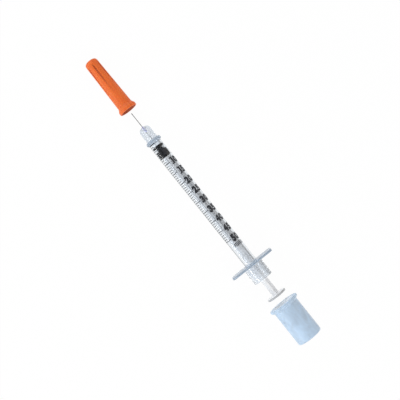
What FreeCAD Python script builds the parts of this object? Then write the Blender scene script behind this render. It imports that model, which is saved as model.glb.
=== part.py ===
import FreeCAD, Part
import Sketcher
import math
import os
import re

# An insulin syringe of 50 units with a fixed needle, shown open: the needle shield and the plunger cap are
# pulled off and lie in line with it. The syringe's axis is each piece's own X, with the needle towards -X.
# Lengths are in millimetres, angles in degrees.

driving = [
    ("unit_volume", 10, "liquid in one unit, in cubic millimetres"),
    ("scale_units", 50, "units on the scale"),
    ("bore_diameter", 3.48, "bore of the barrel"),
    ("barrel_wall", 1.2, "wall of the barrel"),
    ("dead_space", 0.15, "from the empty line to the front end of the bore"),
    ("bead_setback", 0.2, "from the empty line to the bead"),
    ("bead_length", 1.7, "length of the bead that stops the shield"),
    ("bead_diameter", 7.35, "outside of the bead"),
    ("bead_slope", 0.6, "slope at each side of the bead"),
    ("hub_length", 6.7, "from the bead to the nose"),
    ("hub_diameter", 5.3, "across the fins of the hub"),
    ("hub_nose_round", 1.9, "rounding of the fins at the nose"),
    ("fin_count", 4, "fins round the hub"),
    ("fin_thickness", 0.8, "thickness of a fin"),
    ("core_tip_diameter", 2.5, "hub's core at the nose"),
    ("core_root_diameter", 3.6, "hub's core at the bead"),
    ("core_round", 0.45, "rounding of the core at the nose"),
    ("well_diameter", 1.1, "diameter of the adhesive well"),
    ("well_depth", 2.4, "depth of the adhesive well"),
    ("scale_to_flange", 13.4, "from the last tick to the finger flange"),
    ("flange_thickness", 1.0, "thickness of the finger flange"),
    ("flange_width", 20.8, "finger flange from tip to tip"),
    ("flange_corner", 2.5, "corner radius of the finger flange"),
    ("flange_lift", 0.02, "from the flange's lower side to the surface that the syringe lies on"),
    ("collar_length", 7.5, "length of the collar behind the flange"),
    ("collar_diameter", 9.0, "outside of the collar"),
    ("collar_wall", 1.0, "wall of the collar"),
    ("edge_break", 0.2, "bevel on the moulded edges"),
    ("lead_in_length", 1.2, "length of the cone that leads into the bore"),
    ("lead_in_flare", 0.75, "how much wider the cone's radius is at its mouth"),
    ("cannula_diameter", 0.31, "outside of the needle tube"),
    ("cannula_wall", 0.075, "wall of the needle tube"),
    ("needle_length", 8.0, "needle ahead of the nose"),
    ("bevel_length", 1.1, "length of the ground point"),
    ("meniscus_height", 0.45, "how far the adhesive climbs up the needle"),
    ("meniscus_wall", 0.06, "thickness of the adhesive at its thin edge"),
    ("stopper_length", 6.2, "length of the stopper"),
    ("stopper_clearance", 0.03, "gap between the stopper's ribs and the bore"),
    ("stopper_groove_count", 2, "grooves between the sealing ribs"),
    ("stopper_groove_length", 1.3, "width of a groove at the ribs"),
    ("stopper_groove_depth", 0.3, "depth of a groove"),
    ("stopper_edge_break", 0.15, "bevel on the stopper's ends"),
    ("knob_diameter", 2.1, "plunger's knob inside the stopper"),
    ("knob_length", 1.8, "length of the knob"),
    ("knob_neck_diameter", 1.3, "neck between the knob and the rod"),
    ("knob_neck_length", 1.6, "length of the neck"),
    ("rod_clearance", 0.14, "gap between the rod and the bore"),
    ("rod_disc_thickness", 0.8, "disc that backs the stopper"),
    ("rod_rib_thickness", 0.75, "thickness of the rod's crossed ribs"),
    ("thumb_standoff", 7.0, "from the collar to the thumb disc when the barrel is empty"),
    ("thumb_diameter", 8.95, "diameter of the thumb disc"),
    ("thumb_thickness", 1.0, "thickness of the thumb disc"),
    ("drawn_back", 1.43, "how far the plunger is drawn back from empty"),
    ("cap_clearance", 0.15, "gap between the plunger cap and the collar"),
    ("cap_wall", 1.2, "wall of the plunger cap"),
    ("cap_length", 18.6, "length of the plunger cap"),
    ("cap_end_wall", 1.1, "end wall of the plunger cap"),
    ("cap_rim_overhang", 1.1, "how far the cap's rim stands out"),
    ("cap_rim_thickness", 0.9, "thickness of the rim at its edge"),
    ("cap_rim_slope", 0.9, "length of the slope behind the rim"),
    ("cap_end_bevel", 0.4, "bevel round the cap's closed end"),
    ("cap_gap", 3.8, "from the thumb disc to the mouth of the cap that is off"),
    ("shield_clearance", 0.07, "gap between the shield and the hub"),
    ("shield_wall", 0.68, "wall of the shield over the hub"),
    ("shield_length", 27.05, "length of the needle shield"),
    ("shield_tip_diameter", 6.0, "outside of the shield at its closed end"),
    ("shield_tip_round", 1.45, "rounding of the closed end"),
    ("shield_tip_length", 1.8, "length of the closed end before the taper"),
    ("flute_start", 2.2, "from the closed end to the flutes"),
    ("shield_end_wall", 1.6, "end wall of the shield"),
    ("shield_rim_diameter", 8.4, "outside of the shield's rim"),
    ("shield_rim_length", 1.3, "length of the rim"),
    ("shield_flare_length", 1.3, "length of the flare from the body to the rim"),
    ("shield_mouth_diameter", 7.2, "mouth of the shield"),
    ("shield_mouth_depth", 1.7, "depth of the funnel in the mouth"),
    ("shield_step_length", 1.5, "length of the step down to the needle chamber"),
    ("shield_seat_gap", 0.2, "from the seated shield to the bead"),
    ("shield_bore_reserve", 0.8, "length of the wide bore ahead of the nose when seated"),
    ("chamber_diameter", 3.8, "inside of the needle chamber"),
    ("flute_count", 6, "flutes round the shield"),
    ("flute_width", 0.8, "width of a flute"),
    ("flute_depth", 0.4, "depth of a flute near the closed end"),
    ("flute_fade", 7.3, "from the mouth to where the flutes fade out"),
    ("shield_gap", 1.7, "from the needle's point to the mouth of the shield that is off"),
]

# Places and diameters that follow from the driving sizes. The first block is measured along the barrel from
# the empty line, the second along the plunger from the stopper's front, and the others from a cap's mouth.
# The last block lays the whole syringe on a surface, resting on the rims of the cap and the shield.
worked = [
    ("unit_pitch", "4 * unit_volume / (pi * bore_diameter ^ 2)"),
    ("barrel_diameter", "bore_diameter + 2 * barrel_wall"),
    ("bead_rear", "-bead_setback"),
    ("bead_front", "bead_rear - bead_length"),
    ("nose", "bead_front - hub_length"),
    ("well_bottom", "nose + well_depth"),
    ("needle_tip", "nose - needle_length"),
    ("flange_front", "scale_units * unit_pitch + scale_to_flange"),
    ("flange_rear", "flange_front + flange_thickness"),
    ("collar_rear", "flange_rear + collar_length"),
    ("collar_bore", "collar_diameter - 2 * collar_wall"),
    ("stopper_diameter", "bore_diameter - 2 * stopper_clearance"),
    ("rib_length", "(stopper_length - stopper_groove_count * stopper_groove_length)"
                   " / (stopper_groove_count + 1)"),
    ("neck_front", "stopper_length - knob_neck_length"),
    ("knob_front", "neck_front - knob_length"),
    ("rod_diameter", "bore_diameter - 2 * rod_clearance"),
    ("thumb_front", "collar_rear + thumb_standoff"),
    ("thumb_rear", "thumb_front + thumb_thickness"),
    ("cap_bore", "collar_diameter + 2 * cap_clearance"),
    ("cap_diameter", "cap_bore + 2 * cap_wall"),
    ("cap_rim_diameter", "cap_diameter + 2 * cap_rim_overhang"),
    ("shield_bore", "hub_diameter + 2 * shield_clearance"),
    ("shield_diameter", "shield_bore + 2 * shield_wall"),
    ("shield_bore_depth", "hub_length + shield_bore_reserve"),
    ("shield_mouth", "needle_tip - shield_gap"),
    ("shield_end", "shield_mouth - shield_length"),
    ("cap_mouth", "drawn_back + thumb_rear + cap_gap"),
    ("cap_end", "cap_mouth + cap_length"),
    ("flare_front", "-(shield_rim_length + shield_flare_length)"),
    ("chamber_root", "-(shield_bore_depth + shield_step_length)"),
    ("shield_closed_end", "-shield_length"),
    ("taper_front", "shield_closed_end + shield_tip_length"),
    ("shield_taper", "(shield_diameter - shield_tip_diameter) / 2 / (flare_front - taper_front)"),
    ("flute_front", "shield_closed_end + flute_start"),
    ("flute_slope", "shield_taper + flute_depth / (-flute_fade - flute_front)"),
    ("shield_rim_front", "-shield_rim_length"),
    ("shield_support", "shield_mouth - shield_rim_length"),
    ("cap_support", "cap_mouth + edge_break"),
    ("rest_slope", "(cap_rim_diameter - shield_rim_diameter) / 2 / (cap_support - shield_support)"),
    ("rest_angle", "atan(rest_slope)"),
    ("rest_cos", "1 / sqrt(1 + rest_slope ^ 2)"),
    ("rest_sin", "rest_slope * rest_cos"),
    ("rest_height", "cap_rim_diameter / 2 * rest_cos - cap_support * rest_sin"),
    ("flange_height", "2 * (rest_height + (flange_front + edge_break) * rest_sin - flange_lift) / rest_cos"),
    ("low_x", "(shield_end + shield_tip_round) * rest_cos"
              " - (shield_tip_diameter / 2 - shield_tip_round) * rest_sin - shield_tip_round"),
    ("high_x", "cap_end * rest_cos + (cap_diameter / 2 - cap_end_bevel) * rest_sin"),
    ("rest_shift", "-(low_x + high_x) / 2"),
]

doc = FreeCAD.newDocument("insulin_syringe")
sizes = doc.addObject("Spreadsheet::Sheet", "Sizes")
for row, (alias, value, note) in enumerate(driving, 1):
    sizes.set(f"A{row}", note)
    sizes.set(f"B{row}", str(value))
    sizes.setAlias(f"B{row}", alias)
same_place = 0.0001
driving_names = {alias for alias, value, note in driving}
worked_names = {alias for alias, formula in worked}


def sheet_formula(formula, own_sheet=False):
    """The formula with each name led by its sheet's name, as an expression needs it."""
    def with_sheet(match):
        name = match.group(0)
        if name in driving_names:
            return "Sizes." + name
        if name in worked_names and not own_sheet:
            return "Places." + name
        return name
    return re.sub(r"[a-z][a-z_]+", with_sheet, formula)


places = doc.addObject("Spreadsheet::Sheet", "Places")
for row, (alias, formula) in enumerate(worked, 1):
    places.setAlias(f"B{row}", alias)
for row, (alias, formula) in enumerate(worked, 1):
    places.set(f"B{row}", "=" + sheet_formula(formula, own_sheet=True))
doc.recompute()


def measure(size):
    """The number behind a named size or place. A plain number stands for itself."""
    if isinstance(size, (int, float)):
        return size
    return float(getattr(sizes if size in driving_names else places, size))


def bind(feature, **formulas):
    """Ties each named property of a feature to its formula."""
    for name, formula in formulas.items():
        feature.setExpression(name, sheet_formula(formula))


# Sketches and features

def new_body(label):
    body = doc.addObject("PartDesign::Body", label)
    body.Label = label
    return body


def origin_feature(body, role):
    return [feature for feature in body.Origin.OriginFeatures if feature.Role == role][0]


def outline(body, name, plane, corners, offset=None):
    """A closed sketch of straight edges on one of the body's planes. Each corner is two formulas, its
    distances from the plane's origin, and offset is how far the sketch stands off the plane."""
    sketch = body.newObject("Sketcher::SketchObject", name)
    sketch.AttachmentSupport = [(origin_feature(body, plane), "")]
    sketch.MapMode = "FlatFace"
    if offset:
        sketch.setExpression("AttachmentOffset.Base.z", sheet_formula(offset))
    count = len(corners)
    turns = [2 * math.pi * k / count for k in range(count)]
    rough = [FreeCAD.Vector(math.cos(turn), math.sin(turn), 0) for turn in turns]
    origin = (-1, 1)
    for k in range(count):
        sketch.addGeometry(Part.LineSegment(rough[k], rough[(k + 1) % count]), False)
    for k in range(count):
        sketch.addConstraint(Sketcher.Constraint("Coincident", k, 2, (k + 1) % count, 1))
        sketch.addConstraint(Sketcher.Constraint("DistanceX", *origin, k, 1, rough[k].x))
        sketch.renameConstraint(sketch.ConstraintCount - 1, f"along_{k}")
        sketch.addConstraint(Sketcher.Constraint("DistanceY", *origin, k, 1, rough[k].y))
        sketch.renameConstraint(sketch.ConstraintCount - 1, f"across_{k}")
    for k, (along, across) in enumerate(corners):
        sketch.setExpression(f"Constraints.along_{k}", sheet_formula(along))
        sketch.setExpression(f"Constraints.across_{k}", sheet_formula(across))
    return sketch


def need_less(body, name, before):
    """A cut that points away from the solid removes nothing, so the volumes are compared."""
    doc.recompute()
    if not 0 < body.Shape.Volume < before:
        raise RuntimeError(f"{name} cuts nothing from {body.Label}")


def turned(body, name, corners):
    """A solid of revolution about the axis, from an outline of places and radii."""
    feature = body.newObject("PartDesign::Revolution", name)
    feature.Profile = outline(body, name + "_sketch", "XY_Plane", corners)
    feature.ReferenceAxis = (feature.Profile[0], ["H_Axis"])
    feature.Angle = 360
    doc.recompute()
    return feature


def bored(body, name, corners):
    """A cut turned about the axis, from an outline of places and radii."""
    before = body.Shape.Volume
    feature = body.newObject("PartDesign::Groove", name)
    feature.Profile = outline(body, name + "_sketch", "XY_Plane", corners)
    feature.ReferenceAxis = (feature.Profile[0], ["H_Axis"])
    feature.Angle = 360
    need_less(body, name, before)
    return feature


def padded(body, name, corners, start, length):
    """A prism along the axis, from its front plane towards the cap."""
    feature = body.newObject("PartDesign::Pad", name)
    feature.Profile = outline(body, name + "_sketch", "YZ_Plane", corners, start)
    bind(feature, Length=length)
    doc.recompute()
    return feature


def pocketed(body, name, plane, corners, length, start=None, both_ways=False):
    """A straight cut from an outline, against the normal of its plane or both ways."""
    before = body.Shape.Volume
    feature = body.newObject("PartDesign::Pocket", name)
    feature.Profile = outline(body, name + "_sketch", plane, corners, start)
    feature.Midplane = both_ways
    bind(feature, Length=length)
    need_less(body, name, before)
    return feature


def round_the_axis(body, name, cut, count):
    """Copies of a cut, evenly spaced round the axis."""
    before = body.Shape.Volume
    pattern = body.newObject("PartDesign::PolarPattern", name)
    pattern.Originals = [cut]
    pattern.Axis = (origin_feature(body, "X_Axis"), [""])
    pattern.Angle = 360
    bind(pattern, Occurrences=count)
    body.Tip = pattern
    need_less(body, name, before)
    return pattern


def rounded(body, name, radius, edges):
    """A fillet on the edges of the body's last feature."""
    if not edges:
        raise RuntimeError(f"{name} finds no edge on {body.Label}")
    base = body.Tip
    feature = body.newObject("PartDesign::Fillet", name)
    feature.Base = (base, edges)
    bind(feature, Radius=radius)
    doc.recompute()
    return feature


def bevelled(body, name, size, edges):
    """A chamfer on the edges of the body's last feature."""
    if not edges:
        raise RuntimeError(f"{name} finds no edge on {body.Label}")
    base = body.Tip
    feature = body.newObject("PartDesign::Chamfer", name)
    feature.Base = (base, edges)
    bind(feature, Size=size)
    doc.recompute()
    return feature


def edges_where(body, test):
    return [f"Edge{number}" for number, edge in enumerate(body.Shape.Edges, 1) if test(edge)]


def rings(body, *wanted):
    """The circular edges about the axis at these places and diameters."""
    def is_wanted(edge):
        if not isinstance(edge.Curve, Part.Circle):
            return False
        centre = edge.Curve.Center
        misses = [math.hypot(centre.y, centre.z) + abs(centre.x - measure(place))
                  + abs(edge.Curve.Radius - measure(diameter) / 2) for place, diameter in wanted]
        return min(misses) < same_place
    return edges_where(body, is_wanted)


# Pieces on the barrel

def make_barrel():
    """One moulding: finned hub, bead, graduated tube, finger flange and collar."""
    body = new_body("barrel")
    turned(body, "tube", [
        ("nose", "0"), ("nose", "hub_diameter / 2"),
        ("bead_front", "hub_diameter / 2"), ("bead_front", "bead_diameter / 2"),
        ("bead_rear", "bead_diameter / 2"), ("bead_rear", "barrel_diameter / 2"),
        ("flange_front", "barrel_diameter / 2"), ("flange_front", "collar_diameter / 2"),
        ("collar_rear", "collar_diameter / 2"), ("collar_rear", "0")])
    rounded(body, "nose_rounding", "hub_nose_round", rings(body, ("nose", "hub_diameter")))
    bevelled(body, "bead_slopes", "bead_slope",
             rings(body, ("bead_front", "bead_diameter"), ("bead_rear", "bead_diameter")))
    bevelled(body, "collar_bevel", "edge_break", rings(body, ("collar_rear", "collar_diameter")))

    # The hub is cut away between its fins, then gets its tapered core back
    inside, outside = "fin_thickness / 2", "hub_diameter / 2 + fin_thickness"
    gap = pocketed(body, "fin_gap", "YZ_Plane",
                   [(inside, inside), (outside, inside), (outside, outside), (inside, outside)],
                   "hub_length + fin_thickness", start="bead_front")
    round_the_axis(body, "fin_gaps", gap, "fin_count")
    turned(body, "hub_core", [
        ("nose", "0"), ("nose", "core_tip_diameter / 2 - core_round"),
        ("nose + core_round", "core_tip_diameter / 2"),
        ("bead_front", "core_root_diameter / 2"), ("bead_front", "0")])

    side, top = "flange_width / 2", "flange_height / 2"
    padded(body, "finger_flange",
           [(side, top), ("-" + side, top), ("-" + side, "-" + top), (side, "-" + top)],
           "flange_front", "flange_thickness")

    def is_flange_corner(edge):
        centre = edge.CenterOfMass
        return (abs(abs(centre.y) - measure("flange_width") / 2)
                + abs(abs(centre.z) - measure("flange_height") / 2)) < same_place
    rounded(body, "flange_corners", "flange_corner", edges_where(body, is_flange_corner))

    def is_flange_edge(edge):
        centre = edge.CenterOfMass
        on_face = min(abs(centre.x - measure("flange_front")), abs(centre.x - measure("flange_rear")))
        return on_face < same_place and math.hypot(centre.y, centre.z) > measure("collar_diameter") / 2
    bevelled(body, "flange_bevels", "edge_break", edges_where(body, is_flange_edge))

    # The whole way through: adhesive well, needle hole, bore, cone and the hollow of the collar
    bored(body, "bore", [
        ("nose", "0"), ("nose", "well_diameter / 2"), ("well_bottom", "well_diameter / 2"),
        ("well_bottom", "cannula_diameter / 2"), ("-dead_space", "cannula_diameter / 2"),
        ("-dead_space", "bore_diameter / 2"), ("flange_rear - lead_in_length", "bore_diameter / 2"),
        ("flange_rear", "bore_diameter / 2 + lead_in_flare"), ("flange_rear", "collar_bore / 2"),
        ("collar_rear", "collar_bore / 2"), ("collar_rear", "0")])
    return body


def make_cannula():
    """The needle tube, ground to a slanted point that faces up, as the scale does."""
    body = new_body("cannula")
    outside, inside = "cannula_diameter / 2", "cannula_diameter / 2 - cannula_wall"
    turned(body, "needle_tube", [
        ("needle_tip", inside), ("needle_tip", outside), ("-dead_space", outside), ("-dead_space", inside)])
    # The cut's slope is the tube's diameter over the bevel's length, and it runs on past the tube
    pocketed(body, "bevel", "XZ_Plane",
             [("needle_tip", "-" + outside), ("needle_tip + 2 * bevel_length", "3 * " + outside),
              ("needle_tip", "3 * " + outside)],
             "2 * cannula_diameter", both_ways=True)
    return body


def make_needle_adhesive():
    """The cured adhesive in the well of the hub, drawn up round the needle."""
    body = new_body("needle_adhesive")
    turned(body, "adhesive_plug", [
        ("nose - meniscus_height", "cannula_diameter / 2"),
        ("nose - meniscus_height", "cannula_diameter / 2 + meniscus_wall"),
        ("nose", "well_diameter / 2"),
        ("well_bottom", "well_diameter / 2"), ("well_bottom", "cannula_diameter / 2")])
    return body


# Pieces on the plunger, both measured from the stopper's front face

def make_stopper():
    """The rubber stopper: sealing ribs with grooves between them, hollow for the plunger's knob."""
    body = new_body("stopper")
    turned(body, "rubber", [
        ("0", "0"), ("0", "stopper_diameter / 2"),
        ("stopper_length", "stopper_diameter / 2"), ("stopper_length", "0")])
    outside = "stopper_diameter / 2 + stopper_clearance"
    floor = "stopper_diameter / 2 - stopper_groove_depth"
    groove_rear = "rib_length + stopper_groove_length"
    before = body.Shape.Volume
    groove = bored(body, "groove", [
        ("rib_length", outside), ("rib_length", floor), (groove_rear, floor), (groove_rear, outside)])
    pattern = body.newObject("PartDesign::LinearPattern", "grooves")
    pattern.Originals = [groove]
    pattern.Direction = (origin_feature(body, "X_Axis"), [""])
    pattern.Mode = "Spacing"
    bind(pattern, Offset=groove_rear, Occurrences="stopper_groove_count")
    body.Tip = pattern
    need_less(body, "grooves", before)
    bevelled(body, "end_bevels", "stopper_edge_break",
             rings(body, (0, "stopper_diameter"), ("stopper_length", "stopper_diameter")))
    bored(body, "knob_hollow", [
        ("knob_front", "0"), ("knob_front", "knob_diameter / 2"), ("neck_front", "knob_diameter / 2"),
        ("neck_front", "knob_neck_diameter / 2"), ("stopper_length", "knob_neck_diameter / 2"),
        ("stopper_length", "0")])
    return body


def make_plunger_rod():
    """One moulding: knob, backing disc, crossed ribs and thumb disc."""
    body = new_body("plunger_rod")
    half, rib = "rod_diameter / 2", "rod_rib_thickness / 2"
    quarter = [(half, rib), (rib, rib), (rib, half)]
    cross = []
    for across, up in quarter:
        cross.append((across, up))
    for across, up in reversed(quarter):
        cross.append(("-" + across, up))
    for across, up in quarter:
        cross.append(("-" + across, "-" + up))
    for across, up in reversed(quarter):
        cross.append((across, "-" + up))
    padded(body, "crossed_ribs", cross, "stopper_length", "thumb_front - stopper_length")
    turned(body, "knob", [
        ("knob_front", "0"), ("knob_front", "knob_diameter / 2"), ("neck_front", "knob_diameter / 2"),
        ("neck_front", "knob_neck_diameter / 2"), ("stopper_length", "knob_neck_diameter / 2"),
        ("stopper_length", half), ("stopper_length + rod_disc_thickness", half),
        ("stopper_length + rod_disc_thickness", "0")])
    turned(body, "thumb_disc", [
        ("thumb_front", "0"), ("thumb_front", "thumb_diameter / 2"),
        ("thumb_rear", "thumb_diameter / 2"), ("thumb_rear", "0")])
    bevelled(body, "thumb_bevels", "edge_break",
             rings(body, ("thumb_front", "thumb_diameter"), ("thumb_rear", "thumb_diameter")))
    return body


# Covers, each measured from its open mouth

def make_plunger_cap():
    """A cup that fits over the collar and the thumb disc, with a rim round its mouth."""
    body = new_body("plunger_cap")
    inner_end = "cap_length - cap_end_wall"
    turned(body, "cup", [
        ("0", "cap_bore / 2"), ("0", "cap_rim_diameter / 2"), ("cap_rim_thickness", "cap_rim_diameter / 2"),
        ("cap_rim_thickness + cap_rim_slope", "cap_diameter / 2"), ("cap_length", "cap_diameter / 2"),
        ("cap_length", "0"), (inner_end, "0"), (inner_end, "cap_bore / 2")])
    bevelled(body, "end_bevel", "cap_end_bevel", rings(body, ("cap_length", "cap_diameter")))
    bevelled(body, "rim_bevels", "edge_break",
             rings(body, (0, "cap_rim_diameter"), ("cap_rim_thickness", "cap_rim_diameter"), (0, "cap_bore")))
    return body


def make_needle_shield():
    """A long fluted cover that fits over the hub, with a flared rim and a closed end."""
    body = new_body("needle_shield")
    inner_end = "shield_closed_end + shield_end_wall"
    turned(body, "sleeve", [
        ("0", "shield_mouth_diameter / 2"), ("0", "shield_rim_diameter / 2"),
        ("shield_rim_front", "shield_rim_diameter / 2"), ("flare_front", "shield_diameter / 2"),
        ("taper_front", "shield_tip_diameter / 2"), ("shield_closed_end", "shield_tip_diameter / 2"),
        ("shield_closed_end", "0"), (inner_end, "0"), (inner_end, "chamber_diameter / 2"),
        ("chamber_root", "chamber_diameter / 2"),
        ("-shield_bore_depth", "shield_bore / 2"), ("-shield_mouth_depth", "shield_bore / 2")])
    rounded(body, "tip_rounding", "shield_tip_round",
            rings(body, ("shield_closed_end", "shield_tip_diameter")))
    bevelled(body, "rim_bevel", "edge_break", rings(body, (0, "shield_rim_diameter")))

    # The floor of a flute rises faster than the sleeve widens, so it fades out before the flare
    floor = "shield_tip_diameter / 2 - flute_depth"
    flute = pocketed(body, "flute", "XZ_Plane", [
        ("flute_front", floor), ("flare_front", floor + " + flute_slope * (flare_front - flute_front)"),
        ("flare_front", "shield_rim_diameter / 2"), ("flute_front", "shield_rim_diameter / 2")],
        "flute_width", both_ways=True)
    round_the_axis(body, "flutes", flute, "flute_count")
    return body


# The syringe on its surface

def lay_down(piece, along):
    """Puts a piece on the common axis, which rises towards the cap by the rest angle."""
    any_angle = 1
    piece.Placement = FreeCAD.Placement(
        FreeCAD.Vector(0, 0, 0), FreeCAD.Rotation(FreeCAD.Vector(0, -1, 0), any_angle))
    piece.setExpression("Placement.Rotation.Angle", sheet_formula("rest_angle"))
    piece.setExpression("Placement.Base.x", sheet_formula(f"rest_shift + {along} * rest_cos"))
    piece.setExpression("Placement.Base.z", sheet_formula(f"rest_height + {along} * rest_sin"))


pieces = [
    (make_barrel(), "0"),
    (make_cannula(), "0"),
    (make_needle_adhesive(), "0"),
    (make_stopper(), "drawn_back"),
    (make_plunger_rod(), "drawn_back"),
    (make_plunger_cap(), "cap_mouth"),
    (make_needle_shield(), "shield_mouth"),
]
for piece, along in pieces:
    lay_down(piece, along)
doc.recompute()

for item in doc.Objects:
    if "Invalid" in item.State or "Error" in item.State:
        raise RuntimeError(f"{item.Label} failed: {item.State}")
for piece, along in pieces:
    if piece.Shape.isNull() or not piece.Shape.isValid():
        raise RuntimeError(f"{piece.Label} has no valid shape")

os.makedirs("parts", exist_ok=True)
for piece, along in pieces:
    piece.Shape.exportStep(f"parts/{piece.Label}.step")
    print(f"{piece.Label}: {len(piece.Shape.Solids)} solids, {piece.Shape.Volume:.2f} cubic mm")
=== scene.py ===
import math
import bmesh
import bpy
import numpy as np
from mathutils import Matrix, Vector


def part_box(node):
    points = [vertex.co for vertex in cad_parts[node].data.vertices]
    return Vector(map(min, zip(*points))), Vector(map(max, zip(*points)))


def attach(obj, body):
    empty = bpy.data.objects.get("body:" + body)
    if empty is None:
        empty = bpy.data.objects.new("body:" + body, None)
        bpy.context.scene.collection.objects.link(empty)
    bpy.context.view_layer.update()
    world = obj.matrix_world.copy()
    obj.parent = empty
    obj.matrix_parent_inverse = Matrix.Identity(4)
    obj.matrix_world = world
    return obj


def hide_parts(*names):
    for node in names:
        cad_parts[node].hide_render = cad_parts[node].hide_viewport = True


# An insulin syringe lying on a white table with its two covers pulled off. Lengths are in millimetres, along
# the syringe from the empty line of its scale, with the needle towards minus. Up is the side with the scale.
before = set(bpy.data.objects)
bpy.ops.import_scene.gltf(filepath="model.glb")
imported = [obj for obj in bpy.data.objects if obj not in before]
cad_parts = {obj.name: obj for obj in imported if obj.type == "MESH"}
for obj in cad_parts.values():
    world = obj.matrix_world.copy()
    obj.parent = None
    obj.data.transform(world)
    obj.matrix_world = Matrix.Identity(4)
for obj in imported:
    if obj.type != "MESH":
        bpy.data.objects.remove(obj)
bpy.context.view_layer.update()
print("frame loaded:", ", ".join(sorted(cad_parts)))

millimetre = 0.001
lying = {
    "restShift": -30.5137,  # where the empty line stands along x
    "restHeight": 4.6999,  # how high the axis is there
    "riseDegrees": 1.4654,  # how the axis rises towards the plunger cap
    "drawnBack": 1.43,  # how far the plunger is drawn back from empty
    "shieldMouth": -18.3,
    "capMouth": 87.698,
}
margin = 0.05  # how near a surface a point counts as on it


# Shapes on grids

# x = shift + along cos(rise) - up sin(rise), z = height + along sin(rise) + up cos(rise), in metres
def layDown(points):
    along, across, up = np.moveaxis(np.asarray(points, float), -1, 0)
    rise = math.radians(lying["riseDegrees"])
    x = lying["restShift"] + along * math.cos(rise) - up * math.sin(rise)
    z = lying["restHeight"] + along * math.sin(rise) + up * math.cos(rise)
    return np.stack([x, across, z], axis=-1) * millimetre


# The way back: from metres in the room to millimetres along, across and up from the axis
def onSyringe(points):
    rise = math.radians(lying["riseDegrees"])
    x, z = points[:, 0] / millimetre - lying["restShift"], points[:, 2] / millimetre - lying["restHeight"]
    up = z * math.cos(rise) - x * math.sin(rise)
    return x * math.cos(rise) + z * math.sin(rise), points[:, 1] / millimetre, up


# Where a piece's points (key "co") or faces (key "center") lie on the syringe
def placesOn(items, key):
    values = np.empty(3 * len(items))
    items.foreach_get(key, values)
    return onSyringe(values.reshape(-1, 3))


# A turn of angle t about the axis: (along, -r sin t, r cos t), so t counts from the top towards minus y
def onAxis(along, radius, turn):
    along, radius, turn = np.broadcast_arrays(along, radius, turn)
    return np.stack([along, -radius * np.sin(turn), radius * np.cos(turn)], axis=-1)


# All directions round the axis, evenly spaced
def turns(count):
    return np.arange(count) * 2 * math.pi / count


# A line through corners (along, radius, rounding). Each rounded corner is an arc about the point that lies
# rounding / sin(half angle) from it on the bisector. Each long straight run gets a point just past its arcs.
def roundedLine(corners, closed=True, steps=6, hold=0.06):
    spots = np.array([corner[:2] for corner in corners], float)
    points = []
    for k, (along, radius, rounding) in enumerate(corners):
        here = spots[k]
        if rounding == 0 or (not closed and k in (0, len(corners) - 1)):
            points.append(here)
            continue
        before = spots[k - 1] - here
        after = spots[(k + 1) % len(corners)] - here
        runBefore, runAfter = np.linalg.norm(before), np.linalg.norm(after)
        before, after = before / runBefore, after / runAfter
        half = math.acos(np.clip(before @ after, -1, 1)) / 2
        reach = rounding / math.tan(half)
        centre = here + (before + after) / np.linalg.norm(before + after) * rounding / math.sin(half)
        first, last = here + before * reach - centre, here + after * reach - centre
        sweep = math.pi - 2 * half
        share = np.linspace(0, 1, steps + 1)[:, None]
        arc = centre + (np.sin((1 - share) * sweep) * first + np.sin(share * sweep) * last) / math.sin(sweep)
        if runBefore > reach + 3 * hold:
            points.append(here + before * (reach + hold))
        points.extend(arc)
        if runAfter > reach + 3 * hold:
            points.append(here + after * (reach + hold))
    return np.array(points)


# Joins a grid of points (rows, columns) into four-sided faces, round in the columns, and in the rows too
# where the surface closes on itself. Points that meet at a pole or a sharp tip are merged.
def gridMesh(name, points, closed=True):
    rows, columns = points.shape[:2]
    index = np.arange(rows * columns).reshape(rows, columns)
    if closed:
        index = np.concatenate([index, index[:1]])
    around = np.roll(index, -1, axis=1)
    faces = np.stack([index[:-1], around[:-1], around[1:], index[1:]], axis=-1).reshape(-1, 4)
    mesh = bpy.data.meshes.new(name)
    mesh.from_pydata(layDown(points).reshape(-1, 3).tolist(), [], faces.tolist())
    return tidied(mesh)


# Merges doubled points, turns the faces outwards by the sign of the volume, and shades smooth up to an angle
def tidied(mesh, sharpDegrees=35):
    shape = bmesh.new()
    shape.from_mesh(mesh)
    bmesh.ops.remove_doubles(shape, verts=shape.verts, dist=1e-8)
    bmesh.ops.dissolve_degenerate(shape, edges=shape.edges, dist=1e-9)
    if shape.calc_volume(signed=True) < 0:
        bmesh.ops.reverse_faces(shape, faces=shape.faces)
    shape.to_mesh(mesh)
    shape.free()
    mesh.shade_smooth()
    mesh.set_sharp_from_angle(angle=math.radians(sharpDegrees))
    mesh.update()
    return mesh


# A profile of (along, radius) turned once about the axis
def turned(name, profile, count=192, closed=True):
    return gridMesh(name, onAxis(profile[:, :1], profile[:, 1:], turns(count)), closed)


def addPiece(mesh, body, material, standsFor=None):
    piece = bpy.data.objects.new(mesh.name, mesh)
    bpy.context.scene.collection.objects.link(piece)
    mesh.materials.append(material)
    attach(piece, body)
    if standsFor:
        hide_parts(standsFor)
        low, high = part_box(standsFor)
        spots = np.array([vertex.co for vertex in mesh.vertices])
        over = max(np.max(np.array(low) - spots.min(0)), np.max(spots.max(0) - np.array(high)))
        print(f"{piece.name}: {len(mesh.polygons)} faces, "
              f"{over / millimetre:+.3f} mm past the box of {standsFor}")
    else:
        print(f"{piece.name}: {len(mesh.polygons)} faces")
    return piece


# A number from 0 to 1 at each point, for the finish to read
def addShade(piece, name, values):
    layer = piece.data.attributes.new(name, "FLOAT", "POINT")
    layer.data.foreach_set("value", values.astype(np.float32))


# Finishes

noiseSpan = (0.3, 0.7)  # most of what the noise gives lies between these


def linear(red, green, blue):
    screen = np.array([red, green, blue]) / 255
    light = np.where(screen < 0.04045, screen / 12.92, ((screen + 0.055) / 1.055) ** 2.4)
    return (*light, 1)


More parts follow.
